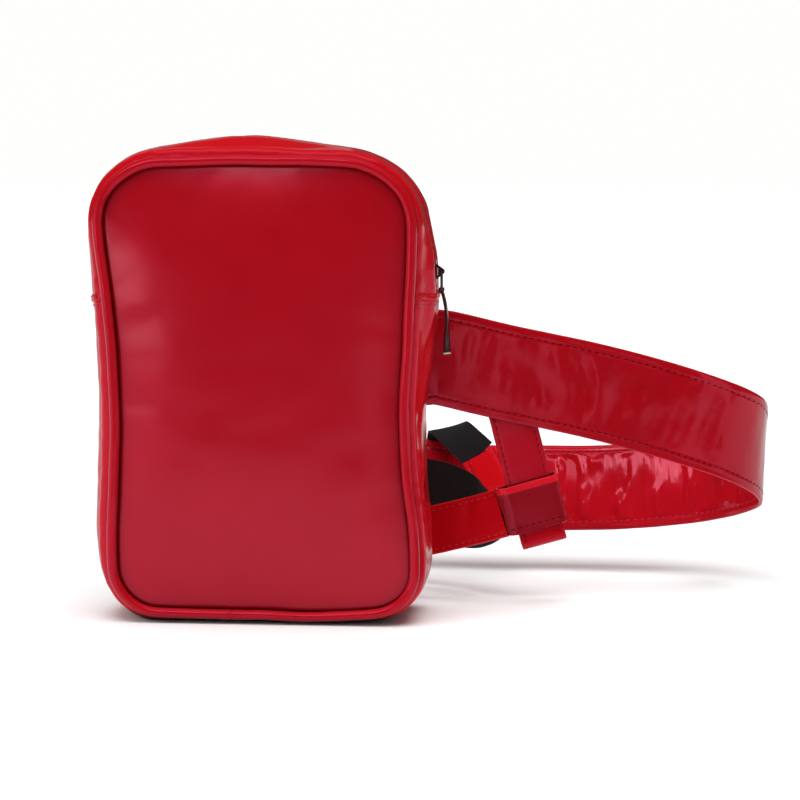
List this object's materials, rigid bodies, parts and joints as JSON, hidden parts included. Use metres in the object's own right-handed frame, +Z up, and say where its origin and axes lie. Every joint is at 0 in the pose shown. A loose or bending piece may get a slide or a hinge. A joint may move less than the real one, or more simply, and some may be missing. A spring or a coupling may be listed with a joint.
{
  "type": "belt pouch",
  "caption": "Upright zipped pouch with a piped front, on a wide stitched belt loop; a narrow hanger strap carries a red and black elastic leg loop.",
  "frame": {"origin": "centre of the pouch's flat base face", "axes": "+X to the right seen from the front, where the belt loop lies, +Y from the front panel to the back, +Z up"},
  "size_m": [0.3664, 0.2097, 0.2545],
  "materials": {
    "patent_red": "high-gloss patent faux leather",
    "patent_red_inner": "glossy faux leather facing, slightly wrinkled",
    "pull_leather": "dark glossy strip with a pale cut edge",
    "zip_tape": "woven zip tape",
    "zip_coil": "nylon coil",
    "gunmetal": "dark plated die casting and wire",
    "foam": "foam padding",
    "bag_lining": "plain woven lining",
    "board": "plain stiffener board",
    "webbing": "non-woven stiffener",
    "hook_and_loop": "hook and loop tape",
    "elastic_black": "woven elastic with fine lengthwise ribs"
  },
  "bodies": {
    "pouch": {"front_panel": "patent_red", "back_panel": "patent_red", "front_piping": "patent_red", "rear_piping": "patent_red", "zip_gusset_front": "patent_red", "zip_gusset_rear": "patent_red", "base_gusset": "patent_red", "gusset_seam_tabs": "patent_red", "zip_tape_front": "zip_tape", "zip_tape_rear": "zip_tape", "zip_coil_front": "zip_coil", "zip_coil_rear": "zip_coil", "zip_stops": "gunmetal", "front_foam": "foam", "rear_foam": "foam", "lining": "bag_lining", "base_board": "board", "belt_anchor": "patent_red", "closure_loop_tape": "hook_and_loop"},
    "slider": {"zip_slider": "gunmetal"},
    "ring": {"zip_ring": "gunmetal"},
    "pull": {"pull_tab": "pull_leather"},
    "belt": {"belt_outer": "patent_red", "belt_core": "webbing", "belt_lining": "patent_red_inner", "closure_hook_tape": "hook_and_loop", "hanger_root": "patent_red", "elastic_hanger": "elastic_black", "elastic_end_tab": "patent_red"},
    "hanger": {"hanger_strap": "patent_red"},
    "leg_loop": {"band_sleeve": "patent_red", "leg_band": "patent_red", "leg_elastic": "elastic_black"}
  },
  "joints": [
    {"name": "zip_slide", "type": "slide", "parent": "pouch", "child": "slider", "axis": [0, 0, 1], "range_m": [0, 0.022]},
    {"name": "ring_swing", "type": "hinge", "parent": "slider", "child": "ring", "pos_m": [0.096, 0, 0.184], "axis": [0, -1, 0], "range_deg": [0, 120]},
    {"name": "pull_swing", "type": "hinge", "parent": "ring", "child": "pull", "pos_m": [0.096, 0, 0.1745], "axis": [0, -1, 0], "range_deg": [-8, 45]},
    {"name": "belt_swing", "type": "hinge", "parent": "pouch", "child": "belt", "pos_m": [0.0841, 0.0342, 0.1354], "axis": [0, 0, 1], "range_deg": [-18, 0]},
    {"name": "hanger_swing", "type": "hinge", "parent": "belt", "child": "hanger", "pos_m": [0.1317, 0.0452, 0.1018], "axis": [0.9553, 0.1428, 0.2588], "range_deg": [-8, 15]},
    {"name": "band_slide", "type": "slide", "parent": "hanger", "child": "leg_loop", "axis": [-0.2391, -0.1414, 0.9606], "range_m": [0, 0.012]}
  ]
}
